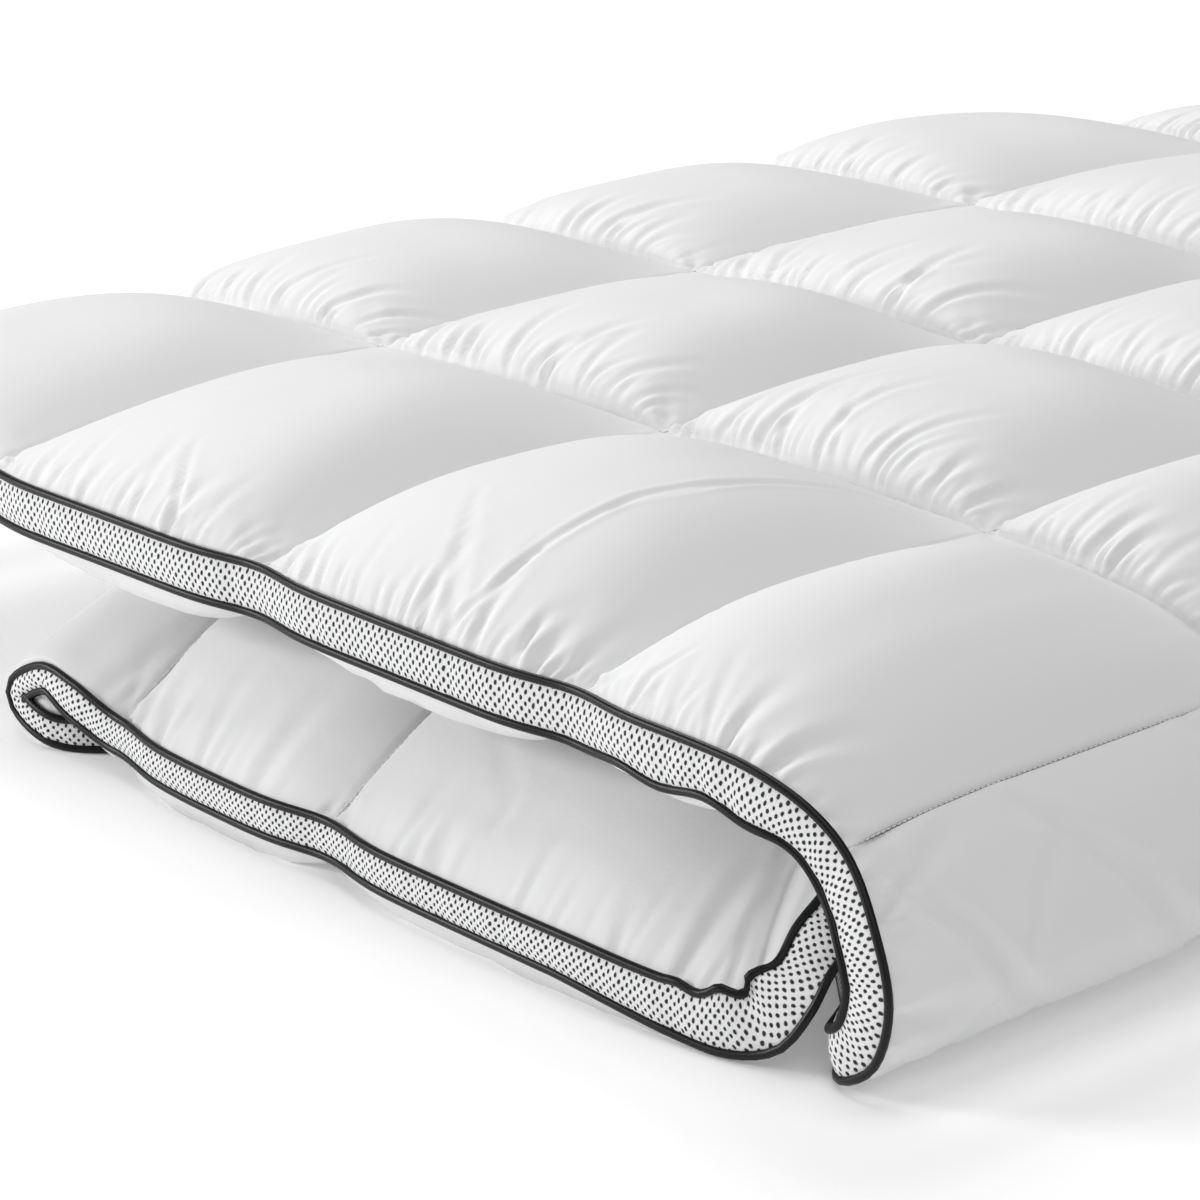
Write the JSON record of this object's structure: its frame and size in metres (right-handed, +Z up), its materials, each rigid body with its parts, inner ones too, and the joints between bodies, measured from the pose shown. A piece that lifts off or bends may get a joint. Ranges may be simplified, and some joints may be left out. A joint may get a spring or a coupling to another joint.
{
  "type": "rolled duvet",
  "caption": "White box-quilted duvet rolled flat in three layers, with a mesh band between dark pipings round its edge.",
  "frame": {"origin": "middle of the footprint, on the surface it rests on", "axes": "+Y along the roll's axis, +X towards the closed fold, +Z up"},
  "size_m": [0.7938, 1.5892, 0.1671],
  "materials": {
    "quilt_cloth": "smooth fine cotton, soft fill",
    "mesh_cloth": "open knitted mesh",
    "piping": "satin-covered cord"
  },
  "bodies": {
    "root": {"quilted_body": "quilt_cloth", "mesh_band": "mesh_cloth", "piping_face": "piping", "piping_back": "piping"}
  },
  "joints": []
}
